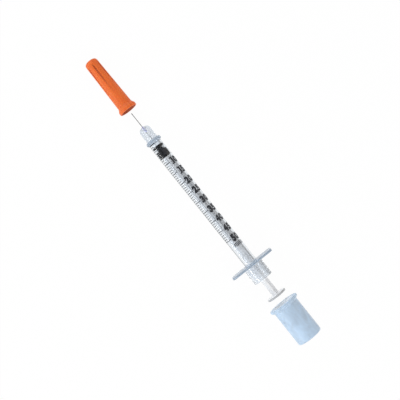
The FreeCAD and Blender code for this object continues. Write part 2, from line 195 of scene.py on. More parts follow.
def newFinish(name, **sockets):
    material = bpy.data.materials.new(name)
    material.use_nodes = True
    shader = material.node_tree.nodes["Principled BSDF"]
    for socket, value in sockets.items():
        shader.inputs[socket.replace("_", " ")].default_value = value
    return material


def mathNode(nodes, operation):
    node = nodes.new("ShaderNodeMath")
    node.operation = operation
    return node


# A straight ramp from one pair of values to another, held at both ends
def rampNode(nodes, fromMin, fromMax, toMin, toMax):
    node = nodes.new("ShaderNodeMapRange")
    ends = {"From Min": fromMin, "From Max": fromMax, "To Min": toMin, "To Max": toMax}
    for socket, value in ends.items():
        node.inputs[socket].default_value = value
    return node


# Noise on the piece's own coordinates: grain is the size of a blob in millimetres along x, y and z
def noise(material, grain, detail=3, distortion=0):
    nodes, links = material.node_tree.nodes, material.node_tree.links
    place = nodes.new("ShaderNodeTexCoord")
    mapping = nodes.new("ShaderNodeMapping")
    mapping.inputs["Scale"].default_value = [1 / (size * millimetre) for size in grain]
    texture = nodes.new("ShaderNodeTexNoise")
    texture.inputs["Scale"].default_value = 1
    texture.inputs["Detail"].default_value = detail
    texture.inputs["Distortion"].default_value = distortion
    links.new(place.outputs["Object"], mapping.inputs["Vector"])
    links.new(mapping.outputs["Vector"], texture.inputs["Vector"])
    return texture.outputs["Fac"]


def vary(material, socket, factor, low, high):
    nodes, links = material.node_tree.nodes, material.node_tree.links
    ramp = rampNode(nodes, *noiseSpan, low, high)
    links.new(factor, ramp.inputs["Value"])
    links.new(ramp.outputs["Result"], nodes["Principled BSDF"].inputs[socket])


def varyColour(material, factor, low, high):
    nodes, links = material.node_tree.nodes, material.node_tree.links
    ramp = nodes.new("ShaderNodeValToRGB")
    for stop, position, colour in zip(ramp.color_ramp.elements, noiseSpan, (low, high)):
        stop.position = position
        stop.color = colour
    links.new(factor, ramp.inputs["Fac"])
    links.new(ramp.outputs["Color"], nodes["Principled BSDF"].inputs["Base Color"])


# Paints light or shade into a finish: mixes the base colour towards another one by an attribute of the piece,
# from 0 to 1
def shadeColour(material, attribute, colour):
    nodes, links = material.node_tree.nodes, material.node_tree.links
    base = nodes["Principled BSDF"].inputs["Base Color"]
    reader = nodes.new("ShaderNodeAttribute")
    reader.attribute_name = attribute
    mixed = nodes.new("ShaderNodeMix")
    mixed.data_type = "RGBA"
    mixed.inputs[7].default_value = colour  # inputs 6 and 7 are the two colours, output 2 their mix
    links.new(base.links[0].from_socket, mixed.inputs[6])
    links.new(reader.outputs["Fac"], mixed.inputs["Factor"])
    links.new(mixed.outputs[2], base)


def bump(material, height, depth, strength=1.0):
    nodes, links = material.node_tree.nodes, material.node_tree.links
    node = nodes.new("ShaderNodeBump")
    node.inputs["Strength"].default_value = strength
    node.inputs["Distance"].default_value = depth * millimetre
    links.new(height, node.inputs["Height"])
    links.new(node.outputs["Normal"], nodes["Principled BSDF"].inputs["Normal"])


# Lets the light of lamps and table through to what is inside: the surface is see-through, by the given share,
# for shadow rays and for light that a matt surface sends back
def letLightIn(material, share):
    nodes, links = material.node_tree.nodes, material.node_tree.links
    path = nodes.new("ShaderNodeLightPath")
    either = mathNode(nodes, "MAXIMUM")
    cover = mathNode(nodes, "MULTIPLY_ADD")
    cover.inputs[1].default_value = -share
    cover.inputs[2].default_value = 1
    links.new(path.outputs["Is Shadow Ray"], either.inputs[0])
    links.new(path.outputs["Is Diffuse Ray"], either.inputs[1])
    links.new(either.outputs[0], cover.inputs[0])
    links.new(cover.outputs[0], nodes["Principled BSDF"].inputs["Alpha"])


# Clear moulded plastic: faint flow lines along the barrel, slightly uneven gloss
clearPlastic = newFinish("clearPlastic", IOR=1.49, Transmission_Weight=1.0)
flow = noise(clearPlastic, (9, 0.9, 0.9), detail=4)
varyColour(clearPlastic, flow, linear(232, 238, 244), linear(244, 247, 250))
vary(clearPlastic, "Roughness", noise(clearPlastic, (2.5, 0.7, 0.7)), 0.04, 0.1)
bump(clearPlastic, flow, 0.01)
letLightIn(clearPlastic, 0.88)

# The same plastic in the hub, a little milky between its fins
milkyPlastic = newFinish("milkyPlastic", IOR=1.49, Transmission_Weight=0.72)
flow = noise(milkyPlastic, (2.4, 0.9, 0.9), detail=3, distortion=0.5)
varyColour(milkyPlastic, flow, linear(222, 230, 240), linear(240, 245, 250))
vary(milkyPlastic, "Roughness", noise(milkyPlastic, (1.2, 0.7, 0.7)), 0.14, 0.24)
bump(milkyPlastic, flow, 0.01)
letLightIn(milkyPlastic, 0.8)

# The same plastic in the collar, faintly hazy
hazyPlastic = newFinish("hazyPlastic", IOR=1.49, Transmission_Weight=0.9)
flow = noise(hazyPlastic, (3, 1.2, 1.2), detail=2, distortion=0.3)
varyColour(hazyPlastic, flow, linear(232, 238, 245), linear(246, 249, 252))
vary(hazyPlastic, "Roughness", noise(hazyPlastic, (1.2, 0.7, 0.7)), 0.1, 0.18)
bump(hazyPlastic, flow, 0.003)
letLightIn(hazyPlastic, 0.85)

# The same plastic where one looks along a wall and it turns cloudy: the bead and the flange
cloudyPlastic = newFinish("cloudyPlastic", IOR=1.49, Transmission_Weight=0.45)
flow = noise(cloudyPlastic, (1.6, 1.4, 1.4), detail=3, distortion=0.5)
varyColour(cloudyPlastic, flow, linear(168, 184, 202), linear(190, 203, 217))
vary(cloudyPlastic, "Roughness", noise(cloudyPlastic, (1.2, 0.7, 0.7)), 0.2, 0.34)
bump(cloudyPlastic, flow, 0.012)
letLightIn(cloudyPlastic, 0.4)

# White moulded plastic that lets some light through
whitePlastic = newFinish("whitePlastic", IOR=1.49, Subsurface_Weight=0.2, Subsurface_Radius=(1, 1, 1),
                         Subsurface_Scale=0.0008)
flow = noise(whitePlastic, (6, 0.8, 0.8), detail=4)
varyColour(whitePlastic, flow, linear(236, 238, 242), linear(246, 247, 249))
vary(whitePlastic, "Roughness", noise(whitePlastic, (1.2, 0.5, 0.5)), 0.28, 0.4)
bump(whitePlastic, flow, 0.012)

# The same plastic along the thin edge of the thumb disc, where it looks grey: that grey is painted shade in
# its colour
paintedShadeEdgePlastic = newFinish("paintedShadeEdgePlastic", IOR=1.49, Subsurface_Weight=0.2, Subsurface_Radius=(1, 1, 1),
                        Subsurface_Scale=0.0008)
flow = noise(paintedShadeEdgePlastic, (0.8, 1.5, 1.5), detail=3)
varyColour(paintedShadeEdgePlastic, flow, linear(172, 174, 178), linear(190, 192, 195))
vary(paintedShadeEdgePlastic, "Roughness", flow, 0.34, 0.46)
bump(paintedShadeEdgePlastic, flow, 0.01)

# Pale blue moulded plastic, cloudy where the wall is thick, painted paler inside: painted light for the light
# that comes through it
bluePlastic = newFinish("bluePlastic", IOR=1.5, Subsurface_Weight=0.2, Subsurface_Radius=(1, 1, 1),
                        Subsurface_Scale=0.0008)
cloud = noise(bluePlastic, (5, 3, 3), detail=3, distortion=0.8)
varyColour(bluePlastic, cloud, linear(178, 197, 217), linear(193, 216, 239))
# Painted light: the inside of the cap is mixed towards a paler blue
shadeColour(bluePlastic, "inside", linear(222, 229, 236))
vary(bluePlastic, "Roughness", noise(bluePlastic, (1.4, 0.7, 0.7)), 0.36, 0.46)
bump(bluePlastic, noise(bluePlastic, (0.5, 0.4, 0.4)), 0.01)
letLightIn(bluePlastic, 0.85)

# Orange moulded plastic with flow streaks along the shield
orangePlastic = newFinish("orangePlastic", IOR=1.5, Specular_IOR_Level=0.35, Subsurface_Weight=0.1,
                          Subsurface_Scale=0.001)
streak = noise(orangePlastic, (7, 0.9, 0.9), detail=4, distortion=0.4)
varyColour(orangePlastic, streak, linear(224, 100, 38), linear(236, 115, 46))
shadeColour(orangePlastic, "recess", linear(170, 74, 34))
vary(orangePlastic, "Roughness", noise(orangePlastic, (1.6, 0.6, 0.6)), 0.42, 0.54)
bump(orangePlastic, noise(orangePlastic, (0.6, 0.35, 0.35)), 0.012)

# Black rubber with a fine moulded grain
blackRubber = newFinish("blackRubber", IOR=1.52, Specular_IOR_Level=0.2)
dust = noise(blackRubber, (0.35, 0.35, 0.35), detail=4)
varyColour(blackRubber, dust, linear(14, 16, 20), linear(26, 28, 33))
vary(blackRubber, "Roughness", dust, 0.4, 0.6)
bump(blackRubber, dust, 0.012)

# Drawn steel tube, polished along its length
needleSteel = newFinish("needleSteel", Metallic=1.0)
draw = noise(needleSteel, (3, 0.04, 0.04), detail=2)
varyColour(needleSteel, draw, linear(104, 105, 106), linear(140, 141, 141))
vary(needleSteel, "Roughness", draw, 0.28, 0.42)
bump(needleSteel, draw, 0.002)

# Cured adhesive with a violet tint
adhesive = newFinish("adhesive", IOR=1.54, Transmission_Weight=0.55)
haze = noise(adhesive, (0.6, 0.5, 0.5))
varyColour(adhesive, haze, linear(126, 122, 226), linear(150, 148, 238))
vary(adhesive, "Roughness", haze, 0.1, 0.25)
bump(adhesive, haze, 0.01)

# Black printing ink, a little uneven in density
ink = newFinish("ink", IOR=1.5)
density = noise(ink, (0.25, 0.25, 0.25), detail=4)
varyColour(ink, density, linear(18, 20, 26), linear(44, 47, 56))
vary(ink, "Roughness", density, 0.35, 0.55)
bump(ink, density, 0.004)
print("finishes made")


# Barrel

barrel = {
    "nose": -8.6, "hubRadius": 2.65, "noseRound": 1.9, "finHalf": 0.4,
    "hubDepths": (2.6, 3.6, 4.8, 6.0, 6.7),  # sections of the hub behind its rounded nose
    "coreTip": 1.25, "coreRoot": 1.8, "coreRound": 0.45,
    "beadFront": -1.9, "beadRear": -0.2, "beadRadius": 3.675, "beadRound": 0.75, "beadFoot": 2.7,
    "crease": 0.05,
    "boreFront": -0.15, "boreRadius": 1.705, "tubeRadius": 2.94, "holeRadius": 0.165,
    "wellRadius": 0.55, "wellBottom": -6.2,
    "flangeFront": 65.968, "flangeRear": 66.968, "flangeHalfWidth": 10.4, "flangeHalfHeight": 6.372,
    "flangeCorner": 2.5, "edgeRound": 0.25, "footRound": 0.3, "frontSeam": 4.6, "rearSeam": 4.9,
    "collarRear": 74.468, "collarRadius": 4.5, "collarBore": 3.5, "collarRound": 0.3, "innerRound": 0.2,
    "leadInLength": 1.2, "leadInRadius": 2.49, "leadInEdge": 0.1, "leadInRound": 0.3,
    "tubeMiddle": 30, "columns": 360,
}
aboutBarrel = turns(barrel["columns"])


# How far a quarter arc at the nose lies below its full radius: r - sqrt(r^2 - (r - depth)^2), and 0 past r
def arcDrop(rounding, depth):
    return rounding - math.sqrt(max(0, rounding ** 2 - max(0, rounding - depth) ** 2))


# Section of the hub: the wider of the core, a circle, and the four fins, whose sides lie finHalf off their
# middles. Both are rounded off at the nose, the fins by noseRound and the core by coreRound.
def hubRadius(along):
    depth = along - barrel["nose"]
    edge = barrel["hubRadius"] - arcDrop(barrel["noseRound"], depth)
    taper = (barrel["coreRoot"] - barrel["coreTip"]) / (barrel["beadFront"] - barrel["nose"])
    core = barrel["coreTip"] + taper * depth - arcDrop(barrel["coreRound"], depth)
    side = np.abs(np.stack([np.sin(aboutBarrel), np.cos(aboutBarrel)])).min(axis=0)
    fins = np.minimum(edge, barrel["finHalf"] / np.maximum(side, 1e-6))
    return np.maximum(core, fins)


# Section of the flange: a rectangle with arcs at its corners, less an inset all round. The distance to it in
# each direction is the nearer of its two sides, or the corner's arc where the ray meets that first.
def flangeRadius(inset):
    across, up = np.abs(np.sin(aboutBarrel)), np.abs(np.cos(aboutBarrel))
    halfWidth, halfHeight = barrel["flangeHalfWidth"] - inset, barrel["flangeHalfHeight"] - inset
    corner = barrel["flangeCorner"] - inset
    reach = np.minimum(halfWidth / np.maximum(across, 1e-9), halfHeight / np.maximum(up, 1e-9))
    middle = (halfWidth - corner, halfHeight - corner)
    inCorner = (reach * across > middle[0]) & (reach * up > middle[1])
    projection = across * middle[0] + up * middle[1]
    arc = projection + np.sqrt(np.maximum(projection ** 2 - middle[0] ** 2 - middle[1] ** 2 + corner ** 2, 0))
    return np.where(inCorner, arc, reach)


def ring(along, radius):
    return onAxis(along, radius * np.ones(barrel["columns"]), aboutBarrel)


def rings(profile):
    return [ring(along, radius) for along, radius in profile]


rows = []
noseDepths = barrel["noseRound"] * (1 - np.cos(np.linspace(0, math.pi / 2, 16)))
for depth in (*noseDepths, *barrel["hubDepths"]):
    rows.append(ring(barrel["nose"] + depth, hubRadius(barrel["nose"] + depth)))
bead = roundedLine([
    (barrel["beadFront"], barrel["beadFoot"], 0),
    (barrel["beadFront"], barrel["beadRadius"], barrel["beadRound"]),
    (barrel["beadRear"], barrel["beadRadius"], barrel["beadRound"]),
    (barrel["beadRear"], barrel["tubeRadius"], barrel["crease"]),
    (barrel["tubeMiddle"], barrel["tubeRadius"], 0),
    (barrel["flangeFront"], barrel["tubeRadius"], barrel["footRound"]),
    (barrel["flangeFront"], barrel["frontSeam"], 0)], closed=False)
rows.extend(rings(bead))
for along, side in ((barrel["flangeFront"], 1), (barrel["flangeRear"], -1)):
    sweep = np.linspace(0, math.pi / 2, 6)[::side]
    for angle in sweep:
        inset = barrel["edgeRound"] * (1 - math.sin(angle))
        rows.append(ring(along + side * barrel["edgeRound"] * (1 - math.cos(angle)), flangeRadius(inset)))
collar = roundedLine([
    (barrel["flangeRear"], barrel["rearSeam"], 0),
    (barrel["flangeRear"], barrel["collarRadius"], barrel["innerRound"]),
    (barrel["collarRear"], barrel["collarRadius"], barrel["collarRound"]),
    (barrel["collarRear"], barrel["collarBore"], barrel["innerRound"]),
    (barrel["flangeRear"], barrel["collarBore"], barrel["innerRound"]),
    (barrel["flangeRear"], barrel["leadInRadius"], barrel["leadInEdge"]),
    (barrel["flangeRear"] - barrel["leadInLength"], barrel["boreRadius"], barrel["leadInRound"]),
    (barrel["boreFront"], barrel["boreRadius"], barrel["innerRound"]),
    (barrel["boreFront"], barrel["holeRadius"], 0),
    (barrel["wellBottom"], barrel["holeRadius"], 0), (barrel["wellBottom"], barrel["wellRadius"], 0),
    (barrel["nose"], barrel["wellRadius"], 0)], closed=False)
rows.extend(rings(collar))
clearBarrel = addPiece(gridMesh("clearBarrel", np.array(rows)), "barrel", clearPlastic,
                       "barrel")

# The hub is milky, the bead and the flange are cloudy, the collar is hazy and the rest is clear
along = placesOn(clearBarrel.data.polygons, "center")[0]
behindFlange = barrel["flangeRear"] + 0.2
stretches = [(milkyPlastic, barrel["nose"] - 1, barrel["beadFront"]),
             (cloudyPlastic, barrel["beadFront"], barrel["beadRear"]),
             (cloudyPlastic, barrel["flangeFront"] - 0.2, behindFlange),
             (hazyPlastic, behindFlange, barrel["collarRear"] + 1)]
chosen = np.zeros(len(along), np.int32)
for place, (material, start, end) in enumerate(stretches, 1):
    clearBarrel.data.materials.append(material)
    chosen[(along > start) & (along < end)] = place
clearBarrel.data.polygons.foreach_set("material_index", chosen)


# Needle

needle = {
    "tip": -16.6, "rear": -0.15, "radius": 0.155, "wall": 0.075, "groundLength": 1.1, "columns": 48,
    "rings": (0, 0.004, 0.2, 1.0),  # shares of the length from the ground end to the rear
}


# The point is cut by a slanted plane: its edge is at tip + ground length x (1 + up / radius) / 2
def groundEnd(radius, turn):
    return needle["tip"] + needle["groundLength"] * (1 + radius * np.cos(turn) / needle["radius"]) / 2


aboutNeedle = turns(needle["columns"])
inside = needle["radius"] - needle["wall"]
rows = []
for radius, order in ((needle["radius"], 1), (inside, -1)):
    ends = groundEnd(radius, aboutNeedle)
    for share in needle["rings"][::order]:
        rows.append(onAxis(ends + share * (needle["rear"] - ends), radius, aboutNeedle))
addPiece(gridMesh("groundNeedle", np.array(rows)), "barrel", needleSteel, "cannula")

glue = {"rise": 0.45, "thinWall": 0.06, "mouth": 0.54, "bore": 0.16}
# The meniscus is a quarter arc that climbs the needle, and the plug below it fills the well
sweep = np.linspace(0, math.pi / 2, 9)
neck = needle["radius"] + glue["thinWall"]
meniscus = np.stack([barrel["nose"] - glue["rise"] * (1 - np.sin(sweep)),
                     neck + (glue["mouth"] - neck) * (1 - np.cos(sweep))], axis=1)
plug = np.array([[barrel["wellBottom"], glue["mouth"]], [barrel["wellBottom"], glue["bore"]],
                 [barrel["nose"] - glue["rise"], glue["bore"]]])
addPiece(turned("adhesivePlug", np.concatenate([meniscus, plug]), 64), "barrel", adhesive,
         "needle_adhesive")


# Printed scale

scale = {
    "pitch": 1.0514, "units": 50, "every": 5, "longWidth": 0.3, "shortWidth": 0.24,
    "longFrom": 7, "shortFrom": 37, "tickTo": 95,  # degrees from the top towards minus y
    "lineFrom": 6.2, "lineTo": 8.2,  # the line along the scale, likewise
    "inkLow": 0.004, "inkHigh": 0.022,  # how far the ink's two faces stand off the barrel
    "digitHeight": 3.4, "digitStart": 0.0, "digitWidth": 36.5, "digitGap": 1.5,  # degrees towards plus y
    "oneStem": (19, 34), "oneFeet": (7, 34), "oneFoot": 0.5,  # the same, and the length of its two feet
    "boldness": 0.075, "digitCuts": 11,  # each digit is cut into strips so that it bends round the barrel
    "barsAt": 55.75, "barsHeight": 1.8, "bars": 7,
    "barsFrom": -16, "barsTo": 75, "barWidth": 7,  # degrees towards plus y
}


# One bar of ink: a box bent round the barrel, with its four long edges as rows and its arc as columns
def inkBar(middle, width, fromDegrees, toDegrees, steps=12):
    low = barrel["tubeRadius"] + scale["inkLow"]
    high = barrel["tubeRadius"] + scale["inkHigh"]
    turn = np.radians(np.linspace(fromDegrees, toDegrees, steps))
    front, rear = middle - width / 2, middle + width / 2
    edges = [(front, low), (rear, low), (rear, high), (front, high)]
    points = np.array([onAxis(along, radius, turn) for along, radius in edges])
    index = np.arange(4 * steps).reshape(4, steps)
    after = np.roll(index, -1, axis=0)
    faces = np.stack([index[:, :-1], index[:, 1:], after[:, 1:], after[:, :-1]], axis=-1).reshape(-1, 4)
    ends = np.stack([index[:, 0][::-1], index[:, -1]])
    return points.reshape(-1, 3), np.concatenate([faces, ends])


def inkMesh(name, bars):
    spots, faces, count = [], [], 0
    for points, joined in bars:
        spots.append(points)
        faces += (joined + count).tolist()
        count += len(points)
    mesh = bpy.data.meshes.new(name)
    mesh.from_pydata(layDown(np.concatenate(spots)).tolist(), [], faces)
    return tidied(mesh)


ticks = []
for unit in range(scale["units"] + 1):
    kind = "short" if unit % scale["every"] else "long"
    ticks.append(inkBar(unit * scale["pitch"], scale[kind + "Width"], scale[kind + "From"], scale["tickTo"]))
scaleLength = scale["units"] * scale["pitch"]
ticks.append(inkBar(scaleLength / 2, scaleLength, scale["lineFrom"], scale["lineTo"], 3))
addPiece(inkMesh("scaleTicks", ticks), "barrel", ink)

barTurns = np.linspace(scale["barsFrom"], scale["barsTo"], scale["bars"] + 1)
bars = [inkBar(scale["barsAt"], scale["barsHeight"], -turn - scale["barWidth"], -turn, 5)
        for turn in barTurns[:-1]]
addPiece(inkMesh("scaleBars", bars), "barrel", ink)


# A digit of the standard font, stretched to its place and bent round the barrel: the arc runs towards plus y
# and the digit's top points to the needle
def digitPoints(character, middle, startDegrees):
    letter = bpy.data.curves.new("digit", "FONT")
    letter.body = character
    letter.offset = scale["boldness"]
    letter.extrude = 0.5
    letter.resolution_u = 5
    flat = bpy.data.objects.new("digit", letter)
    bpy.context.scene.collection.objects.link(flat)
    bpy.context.view_layer.update()
    mesh = bpy.data.meshes.new_from_object(flat.evaluated_get(bpy.context.evaluated_depsgraph_get()))
    bpy.data.objects.remove(flat)
    shape = bmesh.new()
    shape.from_mesh(mesh)
    bmesh.ops.remove_doubles(shape, verts=shape.verts, dist=1e-5)
    left = min(vertex.co.x for vertex in shape.verts)
    right = max(vertex.co.x for vertex in shape.verts)
    for share in np.linspace(0, 1, scale["digitCuts"] + 2)[1:-1]:
        cut = (left + share * (right - left), 0, 0)
        geometry = [*shape.verts, *shape.edges, *shape.faces]
        bmesh.ops.bisect_plane(shape, geom=geometry, plane_co=cut, plane_no=(1, 0, 0))
    bmesh.ops.triangulate(shape, faces=shape.faces)
    shape.verts.index_update()
    spots = np.array([vertex.co for vertex in shape.verts])
    faces = np.array([[vertex.index for vertex in face.verts] for face in shape.faces])
    shape.free()
    bpy.data.meshes.remove(mesh)
    low, high = spots.min(axis=0), spots.max(axis=0)
    share = (spots - low) / (high - low)
    turn = -np.radians(startDegrees + share[:, 0] * scale["digitWidth"])
    along = middle - (share[:, 1] - 0.5) * scale["digitHeight"]
    radius = barrel["tubeRadius"] + scale["inkLow"] + share[:, 2] * (scale["inkHigh"] - scale["inkLow"])
    return onAxis(along, radius, turn), faces


# The figure 1 is a stem with a foot at each end, made of bars
def figureOne(middle, startDegrees):
    height, foot = scale["digitHeight"], scale["oneFoot"]
    stem, feet = ([-startDegrees - turn for turn in scale[part]] for part in ("oneStem", "oneFeet"))
    ends = [inkBar(middle + side * (height - foot) / 2, foot, *feet) for side in (-1, 1)]
    return [inkBar(middle, height - 2 * foot, *stem), *ends]


digits = []
for unit in range(scale["every"], scale["units"] + 1, scale["every"]):
    for place, character in enumerate(str(unit)):
        start = scale["digitStart"] + place * (scale["digitWidth"] + scale["digitGap"])
        if character == "1":
            digits += figureOne(unit * scale["pitch"], start)
        else:
            digits.append(digitPoints(character, unit * scale["pitch"], start))
addPiece(inkMesh("scaleNumbers", digits), "barrel", ink)


# Stopper, measured from its front face

stopper = {
    "length": 6.2, "radius": 1.71, "ribLength": 1.2, "edge": 0.15,
    "grooveLength": 1.3, "grooveSlope": 0.15, "grooveRound": 0.12,
    "grooveDepths": (0.3, 0.0),  # the rear groove is filled, because the photograph shows none there
    "neckFront": 4.6, "neckRadius": 0.66, "hollowFront": 2.8, "hollowRadius": 1.06,
}
rib, groove = stopper["ribLength"], stopper["grooveLength"]
outer, edge = stopper["radius"], stopper["edge"]
profile = [(0, 0, 0), (0, outer, edge)]
for front, depth in zip((rib, 2 * rib + groove), stopper["grooveDepths"]):
    if depth == 0:
        continue
    floor = outer - depth
    profile += [(front, outer, edge), (front + stopper["grooveSlope"], floor, stopper["grooveRound"]),
                (front + groove - stopper["grooveSlope"], floor, stopper["grooveRound"]),
                (front + groove, outer, edge)]
profile += [(stopper["length"], outer, edge), (stopper["length"], stopper["neckRadius"], 0),
            (stopper["neckFront"], stopper["neckRadius"], 0),
            (stopper["neckFront"], stopper["hollowRadius"], 0),
            (stopper["hollowFront"], stopper["hollowRadius"], 0), (stopper["hollowFront"], 0, 0)]
line = roundedLine(profile, closed=False, steps=4, hold=0.03) + [lying["drawnBack"], 0]
addPiece(turned("rubberStopper", line, 128, closed=False), "plunger", blackRubber,
         "stopper")


# Plunger rod, measured from the stopper's front face

rod = {
    "knobFront": 2.82, "neckFront": 4.58, "knobRadius": 1.04, "neckRadius": 0.64,
    "knobRound": 0.2, "discFront": 6.2, "discRear": 7.0, "discRound": 0.1, "discStep": 0.14,
    "radius": 1.6, "ribHalf": 0.375, "ribRings": 14,
    "thumbFront": 81.468, "thumbRear": 82.468, "thumbFoot": 1.8, "thumbRadius": 4.475, "thumbRound": 0.3,
    "columns": 360,
}
aboutRod = turns(rod["columns"])


# Section of the crossed ribs: each rib reaches radius / cos to its flat end or ribHalf / sin to its side,
# whichever is nearer, and the section is the wider of the two ribs
def crossRadius():
    across = np.maximum(np.abs(np.sin(aboutRod)), 1e-9)
    up = np.maximum(np.abs(np.cos(aboutRod)), 1e-9)
    upright = np.minimum(rod["radius"] / up, rod["ribHalf"] / across)
    level = np.minimum(rod["radius"] / across, rod["ribHalf"] / up)
    return np.maximum(upright, level)


def rodRings(profile):
    return [onAxis(along, radius * np.ones(rod["columns"]), aboutRod) for along, radius in profile]


front = roundedLine([
    (rod["knobFront"], 0, 0), (rod["knobFront"], rod["knobRadius"], rod["knobRound"]),
    (rod["neckFront"], rod["knobRadius"], rod["knobRound"]),
    (rod["neckFront"], rod["neckRadius"], 0), (rod["discFront"], rod["neckRadius"], 0),
    (rod["discFront"], rod["radius"], rod["discRound"]), (rod["discRear"], rod["radius"], rod["discRound"]),
    (rod["discRear"], rod["radius"] - rod["discStep"], 0)], closed=False, steps=4, hold=0.03)
rear = roundedLine([
    (rod["thumbFront"], rod["thumbFoot"], 0), (rod["thumbFront"], rod["thumbRadius"], rod["thumbRound"]),
    (rod["thumbRear"], rod["thumbRadius"], rod["thumbRound"]), (rod["thumbRear"], 0, 0)], closed=False)
rows = rodRings(front)
cross = crossRadius()
for along in np.linspace(rod["discRear"], rod["thumbFront"], rod["ribRings"]):
    rows.append(onAxis(along, cross, aboutRod))
rows.extend(rodRings(rear))
rows = np.array(rows) + [lying["drawnBack"], 0, 0]
crossRod = addPiece(gridMesh("crossRod", rows, closed=False), "plunger", whitePlastic,
                    "plunger_rod")

# The thin edge of the thumb disc has its own finish, darker grey with painted shade
crossRod.data.materials.append(paintedShadeEdgePlastic)
along, across, up = placesOn(crossRod.data.polygons, "center")
onEdge = np.hypot(across, up) > rod["thumbRadius"] - rod["thumbRound"] / 2
crossRod.data.polygons.foreach_set("material_index", onEdge.astype(np.int32))


# Plunger cap, measured from its mouth

cap = {
    "length": 18.6, "radius": 5.85, "bore": 4.65, "endWall": 1.1, "rimRadius": 6.95, "rimThickness": 0.9,
    "rimSlope": 0.9, "slopeRound": 0.5, "endRound": 0.55, "floorRound": 0.6, "rimRound": 0.3,
    "mouthRound": 0.25,
}
line = roundedLine([
    (0, cap["bore"], cap["mouthRound"]), (0, cap["rimRadius"], cap["rimRound"]),
    (cap["rimThickness"], cap["rimRadius"], cap["rimRound"]),
    (cap["rimThickness"] + cap["rimSlope"], cap["radius"], cap["slopeRound"]),
    (cap["length"], cap["radius"], cap["endRound"]), (cap["length"], 0, 0),
    (cap["length"] - cap["endWall"], 0, 0),
    (cap["length"] - cap["endWall"], cap["bore"], cap["floorRound"])], closed=True)
blueCap = addPiece(turned("blueCap", line + [lying["capMouth"], 0]), "plunger_cap",
                   bluePlastic, "plunger_cap")

# Inside is 1 on the bore and the inner side of the end, and falls to 0 on the rim's front. Where it is 1 the
# cap is painted paler, as painted light.
along, across, up = placesOn(blueCap.data.vertices, "co")
inBore = np.hypot(across, up) < cap["bore"] + cap["mouthRound"] + margin
beforeEnd = along - lying["capMouth"] < cap["length"] - cap["endWall"] + margin
addShade(blueCap, "inside", inBore & beforeEnd)


# Needle shield, measured from its mouth with minus towards its closed end

shield = {
    "length": 27.05, "tipRadius": 3.0, "tipRound": 1.45, "tipLength": 1.8, "shoulderRound": 0.4,
    "bodyRadius": 3.4, "flareLength": 1.3, "flareRound": 2.0,
    "rimRadius": 4.2, "rimLength": 1.3, "rimRound": 0.3, "rimFoot": 0.6,
    "mouthRadius": 3.6, "mouthDepth": 1.7, "mouthRound": 0.1,
    "bore": 2.72, "boreDepth": 7.5, "boreRound": 0.3, "chamber": 1.9, "stepLength": 1.5, "endWall": 1.6,
    "floorRound": 0.6, "flutes": 6, "fluteHalf": 0.4, "fluteDepth": 0.4, "fluteStart": 2.2, "fluteRunIn": 0.3,
    "fluteFade": 7.3, "fluteSoft": 0.1, "longRun": 2, "runRings": 12, "columns": 360,
}
aboutShield = turns(shield["columns"])


# Section of the shield: a circle with flat-floored flutes. Each flute's floor stands radius - depth off the
# axis, depth falls in a straight line to nothing at the fade, and the flute's edges are eased over fluteSoft.
def flutedRadius(along, radius):
    start, fade = -shield["length"] + shield["fluteStart"], -shield["fluteFade"]
    depth = shield["fluteDepth"] * np.clip((fade - along) / (fade - start), 0, 1)
    depth = depth * np.clip((along - start + shield["fluteRunIn"]) / shield["fluteRunIn"], 0, 1) ** 2
    share = 2 * math.pi / shield["flutes"]
    offset = (aboutShield + share / 2) % share - share / 2
    sideways = np.abs(np.sin(offset)) * radius
    ease = np.clip((shield["fluteHalf"] - sideways) / shield["fluteSoft"], 0, 1)
    ease = ease * ease * (3 - 2 * ease)
    floor = np.minimum(radius, (radius - depth) / np.cos(offset))
    return radius - (radius - floor) * ease


outline = roundedLine([
    (-shield["length"], 0, 0), (-shield["length"], shield["tipRadius"], shield["tipRound"]),
    (-shield["length"] + shield["tipLength"], shield["tipRadius"], shield["shoulderRound"]),
    (-shield["rimLength"] - shield["flareLength"], shield["bodyRadius"], shield["flareRound"]),
    (-shield["rimLength"], shield["rimRadius"], shield["rimFoot"]),
    (0, shield["rimRadius"], shield["rimRound"]), (0, shield["mouthRadius"], shield["mouthRound"]),
    (-shield["mouthDepth"], shield["bore"], shield["boreRound"]),
    (-shield["boreDepth"], shield["bore"], shield["boreRound"]),
    (-shield["boreDepth"] - shield["stepLength"], shield["chamber"], shield["boreRound"]),
    (-shield["length"] + shield["endWall"], shield["chamber"], shield["floorRound"]),
    (-shield["length"] + shield["endWall"], 0, 0)], closed=False)
turnBack = int(np.argmax(outline[:, 0]))
rows = []
for k, (along, radius) in enumerate(outline):
    rows.append((along, flutedRadius(along, radius) if k < turnBack else radius * np.ones(shield["columns"])))
    if k < turnBack and outline[k + 1, 0] - along > shield["longRun"]:
        for share in np.linspace(0, 1, shield["runRings"] + 2)[1:-1]:
            spot = outline[k] + share * (outline[k + 1] - outline[k])
            rows.append((spot[0], flutedRadius(*spot)))
rows = np.array([onAxis(along + lying["shieldMouth"], radius, aboutShield) for along, radius in rows])
flutedShield = addPiece(gridMesh("flutedShield", rows, closed=False), "needle_shield",
                        orangePlastic, "needle_shield")

# Recess tells how far a point lies below the plain outline, from 0 to 1 at the depth of a flute, so that
# flutes and mouth, where less light comes, are darker
along, across, up = placesOn(flutedShield.data.vertices, "co")
along = along - lying["shieldMouth"]
plain = np.interp(along, outline[:turnBack + 1, 0], outline[:turnBack + 1, 1])
recess = np.clip((plain - np.hypot(across, up)) / shield["fluteDepth"], 0, 1)
recess[along < -shield["length"] + shield["endWall"] - margin] = 0
addShade(flutedShield, "recess", recess)


# Table, light and camera

stage = {
    "halfWidth": 3.0, "grey": 0.93, "roughness": 0.8,
    "whiteShare": 0.97, "loss": 0.62, "lossFrom": 0.0015, "lossTo": 0.007,  # the last two in metres along y
}


